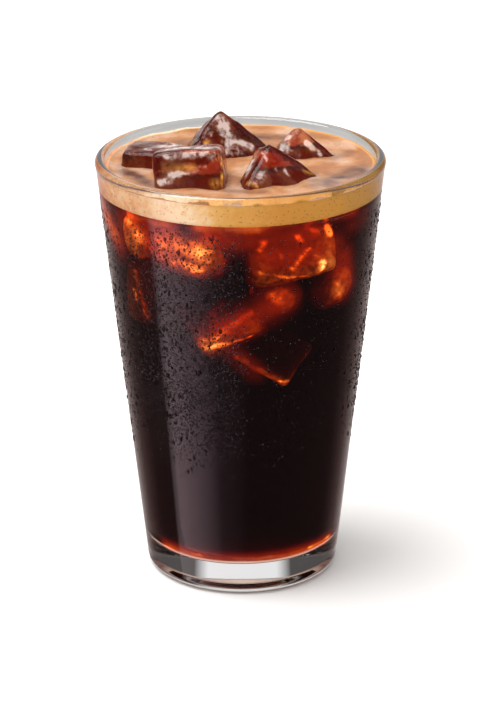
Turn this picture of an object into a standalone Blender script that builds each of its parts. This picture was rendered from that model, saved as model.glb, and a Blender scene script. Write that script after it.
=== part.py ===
"""Iced coffee in a conical glass: glass, coffee, foam and the five ice cubes that stand out of it.

Metres, +Z up. The glass stands on the plane Z = 0 with its axis on Z, and its front faces -Y.
"""

import math
import random

import bmesh
import bpy
from mathutils import Vector

# Glass. The wall is a straight cone from the heel to the rim.
HEIGHT = 0.1326
RIM_RADIUS = 0.0440
FOOT_RADIUS = 0.02957
FLARE = 0.1087
WALL = 0.0030
RIM_ROUND = 0.00155
HEEL_ROUND = 0.0033
FLOOR_TOP = 0.0095
FLOOR_CORNER = 0.0046
RING_INNER_RADIUS = 0.0205
RECESS_DEPTH = 0.0009
TURN_STEPS = 56

# Contents. GAP parts neighbours that touch.
GAP = 0.0003
FOAM_TOP = 0.1295
FOAM_BOTTOM = 0.1233
FOAM_RIPPLE = 0.0007
MENISCUS_RISE = 0.0006
MENISCUS_WIDTH = 0.0016

# Ice: how far the melted edges are rounded, the faces crown, and the surface wanders.
EDGE_MELT = 0.0018
CROWN = 0.0005
WANDER = 0.00022
ICE_CUTS = 3

# name, centre, size along the cube's own axes, turn about X, Y and Z in degrees
ICE_CUBES = (
    ("ice_left", (-0.0264, 0.0040, 0.1205), (0.0175, 0.0145, 0.0270), (0.0, 2.0, -12.0)),
    ("ice_front_left", (-0.0141, -0.0172, 0.1225), (0.0205, 0.0170, 0.0335), (-12.0, -6.0, -4.0)),
    ("ice_back", (-0.0054, 0.0170, 0.1257), (0.0202, 0.0218, 0.0176), (-131.1, 35.8, 116.5)),
    ("ice_front_right", (0.0117, -0.0154, 0.1264), (0.0095, 0.0220, 0.0190), (45.2, 147.6, -57.3)),
    ("ice_back_right", (0.0213, 0.0119, 0.1270), (0.0110, 0.0200, 0.0105), (-136.8, 22.7, 98.7)),
)

COLLECTION = "iced_coffee"
CUTTERS = "ice_cutters"


def outer_radius(z):
    """Radius of the glass's outer wall at height z."""
    return FOOT_RADIUS + FLARE * z


def inner_radius(z):
    """Radius of the glass's inner wall at height z."""
    return outer_radius(z) - WALL


def arc(centre_x, centre_z, radius, start, end, steps):
    """Points of an arc in the XZ plane, angles in degrees from +X towards +Z."""
    points = []
    for i in range(steps + 1):
        angle = math.radians(start + (end - start) * i / steps)
        points.append((centre_x + radius * math.cos(angle), centre_z + radius * math.sin(angle)))
    return points


def corner_arc(wall_at_zero, floor, radius, steps):
    """Arc that joins a flat floor to a wall flaring from wall_at_zero, from the floor outwards."""
    slope = math.degrees(math.atan(FLARE))
    centre_z = floor + radius
    centre_x = wall_at_zero + FLARE * centre_z - radius * math.hypot(1.0, FLARE)
    return arc(centre_x, centre_z, radius, -90.0, -slope, steps)


def material(name, colour, roughness, alpha=1.0):
    """A Principled material in one colour."""
    mat = bpy.data.materials.new(name)
    mat.use_nodes = True
    shader = mat.node_tree.nodes["Principled BSDF"]
    shader.inputs["Base Color"].default_value = (*colour, 1.0)
    shader.inputs["Roughness"].default_value = roughness
    shader.inputs["Metallic"].default_value = 0.0
    shader.inputs["Alpha"].default_value = alpha
    mat.diffuse_color = (*colour, alpha)
    return mat


def turned(name, profile, mat, collection, rippled=0):
    """A solid turned about Z from a profile that starts on the axis and runs down its outer side.

    The first `rippled` points of the profile form the vertex group "surface".
    """
    mesh = bpy.data.meshes.new(name)
    bm = bmesh.new()
    verts = [bm.verts.new((x, 0.0, z)) for x, z in profile]
    for a, b in zip(verts, verts[1:]):
        bm.edges.new((a, b))
    bm.to_mesh(mesh)
    bm.free()
    obj = bpy.data.objects.new(name, mesh)
    collection.objects.link(obj)
    obj.data.materials.append(mat)
    if rippled:
        obj.vertex_groups.new(name="surface").add(range(rippled), 1.0, "REPLACE")
    screw = obj.modifiers.new("turn", "SCREW")
    screw.axis = "Z"
    screw.steps = TURN_STEPS
    screw.render_steps = TURN_STEPS
    screw.use_merge_vertices = True
    screw.merge_threshold = 0.00001
    screw.use_smooth_shade = True
    return obj


def make_glass(collection):
    """The glass: thick floor, straight flaring wall, rounded rim, and a standing ring round a recess."""
    heel = corner_arc(FOOT_RADIUS, 0.0, HEEL_ROUND, 5)
    rim = arc(RIM_RADIUS - RIM_ROUND, HEIGHT - RIM_ROUND, RIM_ROUND, 180.0, -25.0, 10)
    profile = [(0.0, FLOOR_TOP)]
    profile += corner_arc(FOOT_RADIUS - WALL, FLOOR_TOP, FLOOR_CORNER, 5)
    profile += rim
    profile += reversed(heel)
    profile += [(RING_INNER_RADIUS, 0.0)]
    profile += [(RING_INNER_RADIUS - 2.0 * RECESS_DEPTH, RECESS_DEPTH)]
    profile += [(0.0, RECESS_DEPTH)]
    mat = material("clear_glass", (0.90, 0.94, 0.93), 0.03, 0.35)
    return turned("glass", profile, mat, collection)


def make_coffee(collection, cutters):
    """The coffee: it fills the glass from the floor to the foam, and is cut round the ice."""
    top = FOAM_BOTTOM - GAP
    side = FOOT_RADIUS - WALL - GAP
    floor = FLOOR_TOP + GAP
    profile = [(0.0, top), (side + FLARE * top, top)]
    profile += reversed(corner_arc(side, floor, FLOOR_CORNER, 5))
    profile += [(0.0, floor)]
    mat = material("coffee", (0.055, 0.012, 0.004), 0.08)
    obj = turned("coffee", profile, mat, collection)
    cut_round_ice(obj, cutters)
    return obj


def make_foam(collection, cutters):
    """The foam: a layer with a rippled top that climbs a little at the wall, cut round the ice."""
    side = inner_radius(0.0) - GAP
    wall_top = side + FLARE * (FOAM_TOP + MENISCUS_RISE)
    rings = 6
    shoulder = wall_top - MENISCUS_WIDTH
    profile = [(shoulder * i / rings, FOAM_TOP) for i in range(rings + 1)]
    profile += [(wall_top - MENISCUS_WIDTH * 0.4, FOAM_TOP + MENISCUS_RISE * 0.3)]
    profile += [(wall_top, FOAM_TOP + MENISCUS_RISE)]
    profile += [(side + FLARE * FOAM_BOTTOM, FOAM_BOTTOM), (0.0, FOAM_BOTTOM)]
    mat = material("foam", (0.72, 0.42, 0.17), 0.55)
    obj = turned("foam", profile, mat, collection, rippled=rings)
    clouds = bpy.data.textures.new("foam_ripple", "CLOUDS")
    clouds.noise_scale = 0.016
    ripple = obj.modifiers.new("ripple", "DISPLACE")
    ripple.texture = clouds
    ripple.texture_coords = "LOCAL"
    ripple.vertex_group = "surface"
    ripple.direction = "Z"
    ripple.strength = FOAM_RIPPLE
    cut_round_ice(obj, cutters)
    return obj


def cut_round_ice(obj, cutters):
    """Cut every ice cutter out of a turned solid."""
    cut = obj.modifiers.new("ice", "BOOLEAN")
    cut.operation = "DIFFERENCE"
    cut.operand_type = "COLLECTION"
    cut.collection = cutters
    cut.solver = "EXACT"


def ice_mesh(name, size, seed):
    """A block with crowned, slightly wandering faces, centred on the origin."""
    rng = random.Random(seed)
    half = Vector(size) / 2.0
    bm = bmesh.new()
    bmesh.ops.create_cube(bm, size=2.0)
    bmesh.ops.subdivide_edges(bm, edges=bm.edges[:], cuts=ICE_CUTS, use_grid_fill=True)
    for vert in bm.verts:
        spot = vert.co.copy()
        away = Vector([rng.uniform(-WANDER, WANDER) for _ in range(3)])
        for axis in range(3):
            if abs(abs(spot[axis]) - 1.0) < 0.001:
                others = [spot[(axis + 1) % 3], spot[(axis + 2) % 3]]
                crown = CROWN * (1.0 - others[0] ** 2) * (1.0 - others[1] ** 2)
                away[axis] += math.copysign(crown, spot[axis])
        vert.co = Vector([spot[axis] * half[axis] for axis in range(3)]) + away
    mesh = bpy.data.meshes.new(name)
    bm.to_mesh(mesh)
    bm.free()
    return mesh


def melt_edges(obj):
    """Round the block's own edges, as melting does."""
    melt = obj.modifiers.new("melt", "BEVEL")
    melt.limit_method = "ANGLE"
    melt.angle_limit = math.radians(50.0)
    melt.width = EDGE_MELT
    melt.segments = 3


def place(obj, centre, turn):
    """Set an object's place, and its turn in degrees about X, Y and Z."""
    obj.location = centre
    obj.rotation_euler = [math.radians(angle) for angle in turn]


def make_ice(collection, cutters):
    """The five cubes, and a cutter round each that is larger by the gap."""
    mat = material("clear_ice", (0.86, 0.90, 0.93), 0.10, 0.45)
    for seed, (name, centre, size, turn) in enumerate(ICE_CUBES, start=1):
        mesh = ice_mesh(name, size, seed)
        cube = bpy.data.objects.new(name, mesh)
        collection.objects.link(cube)
        cube.data.materials.append(mat.copy())
        cube.data.materials[0].name = name
        cube.data.shade_smooth()
        place(cube, centre, turn)
        melt_edges(cube)
        cutter = bpy.data.objects.new(name + "_cutter", mesh.copy())
        cutters.objects.link(cutter)
        cutter.hide_render = True
        cutter.display_type = "WIRE"
        place(cutter, centre, turn)
        melt_edges(cutter)
        grow = cutter.modifiers.new("gap", "DISPLACE")
        grow.strength = GAP
        grow.mid_level = 0.0


def main():
    """Clear the scene and build the part."""
    for obj in list(bpy.data.objects):
        bpy.data.objects.remove(obj, do_unlink=True)
    collection = bpy.data.collections.new(COLLECTION)
    cutters = bpy.data.collections.new(CUTTERS)
    for each in (collection, cutters):
        bpy.context.scene.collection.children.link(each)
    make_ice(collection, cutters)
    make_glass(collection)
    make_coffee(collection, cutters)
    make_foam(collection, cutters)


main()
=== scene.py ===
"""Iced coffee in a conical tumbler: every surface of the drink, its glass and the dew on it.

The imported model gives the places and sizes, in metres with +Z up; the front of the glass faces -Y.
"""

import logging
import math
import random
from dataclasses import dataclass
from enum import Enum
from typing import Callable, Sequence

import bmesh
import bpy
import numpy as np
from mathutils import Euler, Matrix, Vector, noise
from mathutils.bvhtree import BVHTree


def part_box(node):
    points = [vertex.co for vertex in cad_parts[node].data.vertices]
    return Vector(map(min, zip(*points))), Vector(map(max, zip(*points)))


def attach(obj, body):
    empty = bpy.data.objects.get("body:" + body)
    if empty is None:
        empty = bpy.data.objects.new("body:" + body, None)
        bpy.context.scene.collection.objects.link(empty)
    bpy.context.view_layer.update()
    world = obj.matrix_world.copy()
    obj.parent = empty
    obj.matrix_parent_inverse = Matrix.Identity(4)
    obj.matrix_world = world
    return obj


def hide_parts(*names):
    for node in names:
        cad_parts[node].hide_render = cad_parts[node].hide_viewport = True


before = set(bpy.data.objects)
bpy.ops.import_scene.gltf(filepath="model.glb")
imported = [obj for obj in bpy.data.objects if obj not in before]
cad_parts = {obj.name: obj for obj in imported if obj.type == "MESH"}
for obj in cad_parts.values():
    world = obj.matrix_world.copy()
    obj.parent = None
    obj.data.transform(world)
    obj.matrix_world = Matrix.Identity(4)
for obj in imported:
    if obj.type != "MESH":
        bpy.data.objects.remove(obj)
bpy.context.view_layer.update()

LOG = logging.getLogger("iced_coffee")
MM = 0.001
MERGE = 0.002 * MM
BODY = "root"

Colour = tuple[float, float, float]
Point = tuple[float, float, float]
Profile = list[tuple[float, float]]
Stops = tuple[tuple[float, Colour], ...]
Grain = tuple[float, float]
BLACK: Colour = (0.0, 0.0, 0.0)
WHITE: Colour = (1.0, 1.0, 1.0)


class Slot(Enum):
    """The record's material slots."""

    GLASS = "clear_glass"
    COFFEE = "coffee"
    FOAM = "foam"
    ICE = "clear_ice"


@dataclass(frozen=True)
class TumblerShape:
    """The glass's own measures, in metres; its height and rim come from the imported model."""

    foot_radius: float = 29.57 * MM
    flare: float = 0.1087
    wall: float = 3.0 * MM
    floor_top: float = 9.5 * MM
    floor_corner: float = 4.6 * MM
    heel_round: float = 3.3 * MM
    rim_round: float = 1.55 * MM
    ring_inner: float = 20.5 * MM
    recess: float = 0.9 * MM

    @property
    def height(self) -> float:
        """Height of the rim above the surface that the glass stands on."""
        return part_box("glass")[1][2]

    @property
    def rim_radius(self) -> float:
        """Outer radius of the rim."""
        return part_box("glass")[1][0]

    def outer(self, z: float) -> float:
        """Radius of the outer wall at height z."""
        return self.foot_radius + self.flare * z

    def inner(self, z: float) -> float:
        """Radius of the inner wall at height z."""
        return self.outer(z) - self.wall

    def corner(self, wall_at_zero: float, floor: float, radius: float, steps: int) -> Profile:
        """Arc that joins a flat floor to a flaring wall.

        Args:
            wall_at_zero: Radius that the wall would have at height zero.
            floor: Height of the floor.
            radius: Radius of the arc.
            steps: Number of segments.

        Returns:
            Profile points (radius, height) from the floor to the wall.
        """
        centre_z = floor + radius
        centre_x = wall_at_zero + self.flare * centre_z - radius * math.hypot(1.0, self.flare)
        return arc(centre_x, centre_z, radius, -90.0, -math.degrees(math.atan(self.flare)), steps)


def arc(cx: float, cz: float, radius: float, start: float, end: float, steps: int) -> Profile:
    """Points of an arc in the profile plane.

    Args:
        cx: Radius at the arc's centre.
        cz: Height of the arc's centre.
        radius: Radius of the arc.
        start: First angle in degrees, from the radial direction upwards.
        end: Last angle in degrees.
        steps: Number of segments.

    Returns:
        Profile points (radius, height).
    """
    angles = [math.radians(start + (end - start) * i / steps) for i in range(steps + 1)]
    return [(cx + radius * math.cos(a), cz + radius * math.sin(a)) for a in angles]


def between(first: tuple[float, float], last: tuple[float, float], parts: int) -> Profile:
    """Divide the line between two profile points.

    Args:
        first: Where the line starts.
        last: Where it ends.
        parts: Number of equal parts.

    Returns:
        The points strictly between the two.
    """
    return [
        (first[0] + (last[0] - first[0]) * i / parts, first[1] + (last[1] - first[1]) * i / parts)
        for i in range(1, parts)
    ]


def ramp_between(value: float, low: float, high: float) -> float:
    """Step smoothly from 0 to 1.

    Args:
        value: Where the step is read.
        low: Where it starts.
        high: Where it ends.

    Returns:
        The step's height there.
    """
    t = min(1.0, max(0.0, (value - low) / (high - low)))
    return t * t * (3.0 - 2.0 * t)


def plateau(value: float, foot: float, edge: float, far_edge: float, far_foot: float) -> float:
    """Rise smoothly from 0 to 1 and fall again.

    Args:
        value: Where it is read.
        foot: Where the rise starts.
        edge: Where it ends.
        far_edge: Where the fall starts.
        far_foot: Where it ends.

    Returns:
        The height there.
    """
    return ramp_between(value, foot, edge) * (1.0 - ramp_between(value, far_edge, far_foot))


class NodeWork:
    """A node tree under construction, with short ways to add the nodes that recur."""

    def __init__(self, tree: bpy.types.NodeTree) -> None:
        """Keep the tree."""
        self.tree = tree

    def put(self, value: object, socket: bpy.types.NodeSocket) -> None:
        """Feed an input.

        Args:
            value: A socket to link, a colour or a number.
            socket: The input.
        """
        if isinstance(value, bpy.types.NodeSocket):
            self.tree.links.new(value, socket)
        elif isinstance(value, tuple):
            socket.default_value = (*value, 1.0)
        else:
            socket.default_value = value

    def math(self, operation: str, first: object, second: object = 0.0) -> bpy.types.NodeSocket:
        """Add a math node.

        Args:
            operation: The node's operation.
            first: A socket or a number.
            second: A socket or a number.

        Returns:
            The result's socket.
        """
        node = self.tree.nodes.new("ShaderNodeMath")
        node.operation = operation
        for value, socket in zip((first, second), node.inputs):
            self.put(value, socket)
        return node.outputs[0]

    def mix(self, factor: object, first: object, second: object, blend: str = "MIX") -> bpy.types.NodeSocket:
        """Mix two colours.

        Args:
            factor: The second colour's share, a socket or a number.
            first: A socket or a colour.
            second: A socket or a colour.
            blend: How the two are mixed.

        Returns:
            The result's socket.
        """
        node = self.tree.nodes.new("ShaderNodeMix")
        node.data_type = "RGBA"
        node.blend_type = blend
        for value, socket in zip((factor, first, second), (node.inputs[0], node.inputs[6], node.inputs[7])):
            self.put(value, socket)
        return node.outputs[2]

    def ramp(self, factor: bpy.types.NodeSocket, stops: Stops) -> bpy.types.NodeSocket:
        """Add a colour ramp.

        Args:
            factor: What the ramp reads.
            stops: Positions with their colours, in rising order.

        Returns:
            The colour's socket.
        """
        ramp = self.tree.nodes.new("ShaderNodeValToRGB")
        elements = ramp.color_ramp.elements
        while len(elements) < len(stops):
            elements.new(0.5)
        for element, (position, colour) in zip(elements, stops):
            element.position = position
            element.color = (*colour, 1.0)
        self.put(factor, ramp.inputs["Fac"])
        return ramp.outputs["Color"]


class Bench(NodeWork):
    """A material under construction: one Principled shader and the nodes that feed it."""

    def __init__(self, name: str) -> None:
        """Start a material with an empty Principled shader.

        Args:
            name: The material's name.
        """
        self.material = bpy.data.materials.new(name)
        self.material.use_nodes = True
        super().__init__(self.material.node_tree)
        self.shader = self.tree.nodes["Principled BSDF"]
        self.output = self.tree.nodes["Material Output"]

    def set(self, **values: float | Sequence[float]) -> "Bench":
        """Set plain values on the shader; an underscore stands for a space in a socket's name."""
        for name, value in values.items():
            self.shader.inputs[name.replace("_", " ")].default_value = value
        return self

    def node(self, kind: str, **settings: object) -> bpy.types.Node:
        """Add a node.

        Args:
            kind: The node's type name without its ShaderNode prefix.
            settings: Node attributes, or input values where the name is an input's.

        Returns:
            The new node.
        """
        node = self.tree.nodes.new("ShaderNode" + kind)
        for name, value in settings.items():
            label = name.replace("_", " ")
            if label in node.inputs:
                node.inputs[label].default_value = value
            else:
                setattr(node, name, value)
        return node

    def feed(self, source: bpy.types.NodeSocket, name: str) -> None:
        """Join an output to the shader's input of that name."""
        self.tree.links.new(source, self.shader.inputs[name])

    def relief(self, broad: float, fine: float, share: float) -> Sequence[bpy.types.NodeSocket]:
        """Place the melt relief.

        Args:
            broad: Scale of its broad layer.
            fine: Scale of its fine layer.
            share: The fine layer's share.

        Returns:
            The sockets of its height and its mask.
        """
        node = self.tree.nodes.new("ShaderNodeGroup")
        node.node_tree = RELIEF.tree
        for name, value in zip(MeltRelief.inputs, (broad, fine, share)):
            node.inputs[name].default_value = value
        return node.outputs[0], node.outputs[1]

    def spot(self) -> bpy.types.NodeSocket:
        """The place on the object."""
        return self.node("TexCoord").outputs["Object"]

    def across(self, axis: str, low: float, high: float) -> bpy.types.NodeSocket:
        """How far along an axis the place is.

        Args:
            axis: X, Y or Z.
            low: Where the result is 0, in metres.
            high: Where it is 1.

        Returns:
            The result's socket.
        """
        axes = self.node("SeparateXYZ")
        self.put(self.spot(), axes.inputs["Vector"])
        span = self.node("MapRange", From_Min=low, From_Max=high)
        self.put(axes.outputs[axis], span.inputs["Value"])
        return span.outputs["Result"]

    def painted(self, name: str) -> bpy.types.NodeSocket:
        """A vertex attribute's value."""
        return self.node("Attribute", attribute_name=name).outputs["Fac"]

    def grained(self, name: str, height: bpy.types.NodeSocket, grain: Grain) -> bpy.types.NodeSocket:
        """A vertex attribute broken up by the relief.

        Args:
            name: The attribute's name.
            height: The relief's height.
            grain: What the height is multiplied by, and what is added to it.

        Returns:
            The result's socket.
        """
        gain, lift = grain
        broken = self.math("ADD", self.math("MULTIPLY", height, gain), lift)
        return self.math("MULTIPLY", self.painted(name), broken)

    def bump(self, height: bpy.types.NodeSocket, strength: float, distance: float) -> None:
        """Feed the shader's normal.

        Args:
            height: The height, from 0 to 1.
            strength: The bump's strength.
            distance: The full height's size in metres.
        """
        bump = self.node("Bump", Strength=strength, Distance=distance)
        self.put(height, bump.inputs["Height"])
        self.feed(bump.outputs["Normal"], "Normal")


class MeltRelief:
    """The shader group for surfaces worn soft by melting or mixing: two scales of wander."""

    inputs = ("Broad Scale", "Fine Scale", "Fine Share")
    outputs = ("Height", "Mask")
    mask_span = (0.38, 0.62)
    detail = 3.0

    def __init__(self) -> None:
        """Build the group once, with named inputs and outputs."""
        self.tree = bpy.data.node_groups.new("melt_relief", "ShaderNodeTree")
        face = self.tree.interface
        for name in self.inputs:
            face.new_socket(name, in_out="INPUT", socket_type="NodeSocketFloat")
        for name in self.outputs:
            face.new_socket(name, in_out="OUTPUT", socket_type="NodeSocketFloat")
        nodes, links = self.tree.nodes, self.tree.links
        entry, leave = nodes.new("NodeGroupInput"), nodes.new("NodeGroupOutput")
        spot = nodes.new("ShaderNodeTexCoord")
        layers = []
        for scale in self.inputs[:2]:
            layer = nodes.new("ShaderNodeTexNoise")
            layer.inputs["Detail"].default_value = self.detail
            links.new(spot.outputs["Object"], layer.inputs["Vector"])
            links.new(entry.outputs[scale], layer.inputs["Scale"])
            layers.append(layer)
        mix = nodes.new("ShaderNodeMix")
        mix.data_type = "FLOAT"
        links.new(entry.outputs["Fine Share"], mix.inputs[0])
        links.new(layers[0].outputs["Fac"], mix.inputs[2])
        links.new(layers[1].outputs["Fac"], mix.inputs[3])
        links.new(mix.outputs[0], leave.inputs["Height"])
        spread = nodes.new("ShaderNodeMapRange")
        spread.inputs["From Min"].default_value, spread.inputs["From Max"].default_value = self.mask_span
        links.new(layers[0].outputs["Fac"], spread.inputs["Value"])
        links.new(spread.outputs["Result"], leave.inputs["Mask"])


RELIEF = MeltRelief()


@dataclass(frozen=True)
class GlassFinish:
    """Clear pressed glass: a faint cool tint, a slow waviness, and a grey tint at the top as painted shade,
    darkening the rim.
    """

    name: str = "tumbler_glass"
    tint: Colour = (0.985, 0.995, 0.99)
    shade: Colour = (0.95, 0.975, 0.965)
    # Painted shade: a grey tint that darkens the rim.
    brim_shade: Colour = (0.74, 0.735, 0.725)
    brim_start: float = 129.0 * MM
    brim_end: float = 131.0 * MM
    ior: float = 1.5
    wave: float = 0.02

    def build(self) -> bpy.types.Material:
        """Make the material.

        Returns:
            The material.
        """
        bench = Bench(self.name).set(Roughness=0.0, IOR=self.ior, Transmission_Weight=1.0)
        height, mask = bench.relief(broad=45.0, fine=160.0, share=0.2)
        wall = bench.mix(mask, self.tint, self.shade)
        # Painted shade: the grey tint is blended in near the top.
        high = bench.across("Z", self.brim_start, self.brim_end)
        bench.feed(bench.mix(high, wall, self.brim_shade), "Base Color")
        bench.bump(height, self.wave, 0.4 * MM)
        return bench.material


@dataclass(frozen=True)
class CoffeeFinish:
    """Black coffee: clear, with the colour in its depth, and a painted glow where light gathers in it."""

    name: str = "black_coffee"
    surface: Colour = WHITE
    settled: Colour = (0.96, 0.93, 0.90)
    ior: float = 1.33
    depth_colour: Colour = (0.84, 0.46, 0.05)
    density: float = 1000.0
    grain: Grain = (1.2, 0.4)
    # Painted glow: emission colours for the painted places, from none to bright orange.
    lit: Stops = (
        (0.0, BLACK), (0.20, (0.045, 0.0015, 0.0003)), (0.45, (0.20, 0.008, 0.001)),
        (0.70, (0.75, 0.10, 0.006)), (1.0, (2.8, 1.2, 0.12)),
    )

    def build(self) -> bpy.types.Material:
        """Make the material; the vertex attribute "lit" marks a painted glow, emission where light gathers in
        the drink.

        Returns:
            The material.
        """
        bench = Bench(self.name).set(Roughness=0.0, IOR=self.ior, Transmission_Weight=1.0)
        bench.set(Emission_Strength=1.0)
        height, mask = bench.relief(broad=60.0, fine=300.0, share=0.3)
        bench.feed(bench.mix(mask, self.surface, self.settled), "Base Color")
        bench.feed(bench.ramp(bench.grained("lit", height, self.grain), self.lit), "Emission Color")
        depth = bench.node("VolumeAbsorption", Color=(*self.depth_colour, 1.0), Density=self.density)
        bench.put(depth.outputs["Volume"], bench.output.inputs["Volume"])
        return bench.material


@dataclass(frozen=True)
class ClearIceFinish:
    """Wet ice that coffee has washed over: brown in its depth, milky with painted sheen in places, with
    painted gold glints and painted shade.
    """

    name: str = "wet_ice"
    deep: Colour = (0.26, 0.016, 0.006)
    light: Colour = (0.62, 0.36, 0.24)
    light_from: float = 0.75
    shading: float = 1.3
    # Milky ice with painted sheen, as emission: a faint painted glow where nothing is painted, whitening
    # where the attribute is painted.
    frost_and_sheen: Stops = (
        (0.0, (0.022, 0.0025, 0.0010)), (0.30, (0.042, 0.008, 0.0035)), (0.48, (0.10, 0.045, 0.030)),
        (0.64, (0.23, 0.16, 0.135)), (0.82, (0.38, 0.31, 0.28)), (1.0, (0.58, 0.50, 0.46)),
    )
    grain: Grain = (5.5, -1.75)
    # Painted glints: a gold emission colour where the attribute is painted.
    amber_glint: Colour = (0.85, 0.38, 0.06)
    ior: float = 1.31
    roughest: float = 0.05
    wave: float = 0.7

    def build(self) -> bpy.types.Material:
        """Make the material; its vertex attributes say where the ice is milky with painted sheen, where it
        has painted gold glints, and where painted shade darkens it.

        Returns:
            The material.
        """
        bench = Bench(self.name).set(IOR=self.ior, Transmission_Weight=1.0, Emission_Strength=1.0)
        height, mask = bench.relief(broad=190.0, fine=620.0, share=0.5)
        patchy = bench.math("SUBTRACT", mask, bench.math("MULTIPLY", bench.painted("shade"), self.shading))
        bench.feed(bench.ramp(patchy, ((0.0, self.deep), (self.light_from, self.light))), "Base Color")
        bench.feed(bench.math("MULTIPLY", mask, self.roughest), "Roughness")
        bench.bump(height, self.wave, 0.8 * MM)
        # Milky ice and its painted sheen, given off as emission.
        milky = bench.ramp(bench.grained("frost_and_sheen", height, self.grain), self.frost_and_sheen)
        bench.feed(bench.mix(bench.grained("amber_glint", height, self.grain), milky, self.amber_glint), "Emission Color")
        return bench.material


@dataclass(frozen=True)
class SunkIceFinish:
    """Ice under the coffee with a painted glow, emission that stands in for light caught in it: the coffee in
    front of it gives it its colour.
    """

    name: str = "sunk_ice"
    body: Colour = (0.05, 0.035, 0.025)
    grain: Grain = (3.0, -0.55)
    glow: Stops = (
        (0.0, BLACK), (0.2, (0.10, 0.020, 0.004)), (0.5, (0.70, 0.25, 0.055)),
        (0.75, (1.8, 0.95, 0.35)), (1.0, (4.0, 2.8, 1.5)),
    )

    def build(self) -> bpy.types.Material:
        """Make the material; the vertex attribute "light" says how bright its painted glow is.

        Returns:
            The material.
        """
        bench = Bench(self.name).set(Roughness=0.4, Base_Color=(*self.body, 1.0), Emission_Strength=1.0)
        height, _ = bench.relief(broad=170.0, fine=650.0, share=0.5)
        bench.feed(bench.ramp(bench.grained("light", height, self.grain), self.glow), "Emission Color")
        bench.bump(height, 0.3, 0.5 * MM)
        return bench.material


@dataclass(frozen=True)
class FoamFinish:
    """Fine coffee foam: painted light and shade on its side, palest a little left of the middle and darker
    towards both edges; darker and wet towards the ice; a painted glow on its sides.
    """

    name: str = "coffee_foam"
    # Painted light and shade: side colours across X, palest a little left of the middle, darker towards the
    # left edge and the right.
    side: Stops = (
        (0.04, (0.60, 0.22, 0.085)), (0.17, (0.80, 0.50, 0.28)), (0.29, (0.95, 0.70, 0.46)),
        (0.40, (0.80, 0.44, 0.14)), (0.50, (0.70, 0.35, 0.085)), (0.62, (0.63, 0.27, 0.05)),
        (0.74, (0.61, 0.28, 0.053)), (0.95, (0.50, 0.26, 0.073)),
    )
    side_reach: float = 44.0 * MM
    side_wander: float = 0.45
    top: Stops = (
        (0.0, (0.34, 0.14, 0.055)), (0.35, (0.43, 0.19, 0.075)),
        (0.65, (0.46, 0.24, 0.12)), (1.0, (0.52, 0.31, 0.20)),
    )
    # Painted glow: the sides give off their own colour, and a red glow where soaked.
    side_glow: float = 0.5
    soaked_glow: Colour = (0.26, 0.062, 0.018)
    wet: Colour = (0.09, 0.032, 0.018)
    wet_lift: float = 0.45
    pit: Colour = (0.20, 0.10, 0.02)
    pits: Stops = ((0.0, (0.8,) * 3), (0.14, (0.45,) * 3), (0.28, BLACK))
    bubble_scale: float = 850.0
    shine: float = 0.30

    def build(self) -> bpy.types.Material:
        """Make the material; "wet" and "top" are vertex attributes from 0 to 1.

        Returns:
            The material.
        """
        bench = Bench(self.name).set(Roughness=0.45, Specular_IOR_Level=0.25)
        bench.set(Coat_Roughness=0.14, Coat_IOR=1.33, Emission_Strength=self.side_glow)
        height, mask = bench.relief(broad=95.0, fine=620.0, share=0.4)
        top, wet = bench.painted("top"), bench.painted("wet")
        # Painted light and shade across the side, from left to right.
        wander = bench.math("MULTIPLY", bench.math("SUBTRACT", height, 0.5), self.side_wander)
        across = bench.across("X", -self.side_reach, self.side_reach)
        side = bench.ramp(bench.math("ADD", across, wander), self.side)
        body = bench.mix(top, side, bench.ramp(mask, self.top))
        bubbles = bench.node("TexVoronoi", feature="F1", Scale=self.bubble_scale)
        bench.put(bench.spot(), bubbles.inputs["Vector"])
        pitted = bench.mix(bench.ramp(bubbles.outputs["Distance"], self.pits), body, self.pit)
        soaked = bench.math("MULTIPLY", wet, bench.math("ADD", height, self.wet_lift))
        bench.feed(bench.mix(soaked, pitted, self.wet), "Base Color")
        # Painted glow on the sides and underside, none on the top.
        bench.feed(bench.mix(top, bench.mix(wet, pitted, self.soaked_glow), BLACK), "Emission Color")
        bench.bump(bubbles.outputs["Distance"], 0.25, 0.25 * MM)
        bench.feed(bench.math("MULTIPLY", bench.math("MULTIPLY", mask, self.shine), top), "Coat Weight")
        return bench.material


@dataclass(frozen=True)
class DewFinish:
    """Small beads of condensed water, tinted grey as painted shade so that they show dark."""

    name: str = "dew"
    # Painted shade: a grey tint that makes the clear beads look dark.
    tint: Colour = (0.32, 0.29, 0.30)
    brighter: float = 1.25
    ior: float = 1.33

    def build(self) -> bpy.types.Material:
        """Make the material.

        Returns:
            The material.
        """
        bench = Bench(self.name).set(Roughness=0.0, IOR=self.ior, Transmission_Weight=1.0)
        _, mask = bench.relief(broad=500.0, fine=1500.0, share=0.3)
        bright = tuple(self.brighter * part for part in self.tint)
        bench.feed(bench.mix(mask, self.tint, bright), "Base Color")
        return bench.material


@dataclass(frozen=True)
class FloorFinish:
    """A plain pale studio floor."""

    name: str = "studio_floor"
    colour: Colour = (0.90, 0.90, 0.90)

    def build(self) -> bpy.types.Material:
        """Make the material.

        Returns:
            The material.
        """
        bench = Bench(self.name).set(Roughness=0.9, Base_Color=(*self.colour, 1.0), Specular_IOR_Level=0.0)
        return bench.material


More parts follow.
